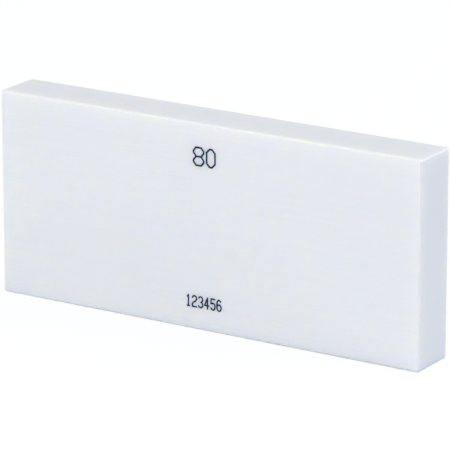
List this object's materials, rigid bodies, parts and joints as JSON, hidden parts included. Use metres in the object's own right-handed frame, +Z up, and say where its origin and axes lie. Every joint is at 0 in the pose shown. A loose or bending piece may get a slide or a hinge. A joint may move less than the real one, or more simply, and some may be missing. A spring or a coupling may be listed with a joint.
{
  "type": "gauge block",
  "caption": "White ceramic gauge block: a flat rectangular bar standing on its long narrow side, with chamfered edges and two lapped end faces that hold its length.",
  "frame": {"origin": "middle of the narrow long side that the block stands on", "axes": "+X from one measuring face to the other, along the nominal length; +Y through the thickness, from the marked side to the plain one; +Z up, across the width of the measuring faces"},
  "size_m": [0.08, 0.009, 0.035],
  "materials": {
    "zirconia": "satin",
    "laser_mark": "matte"
  },
  "bodies": {
    "root": {"gauge_block": "zirconia"}
  },
  "joints": []
}
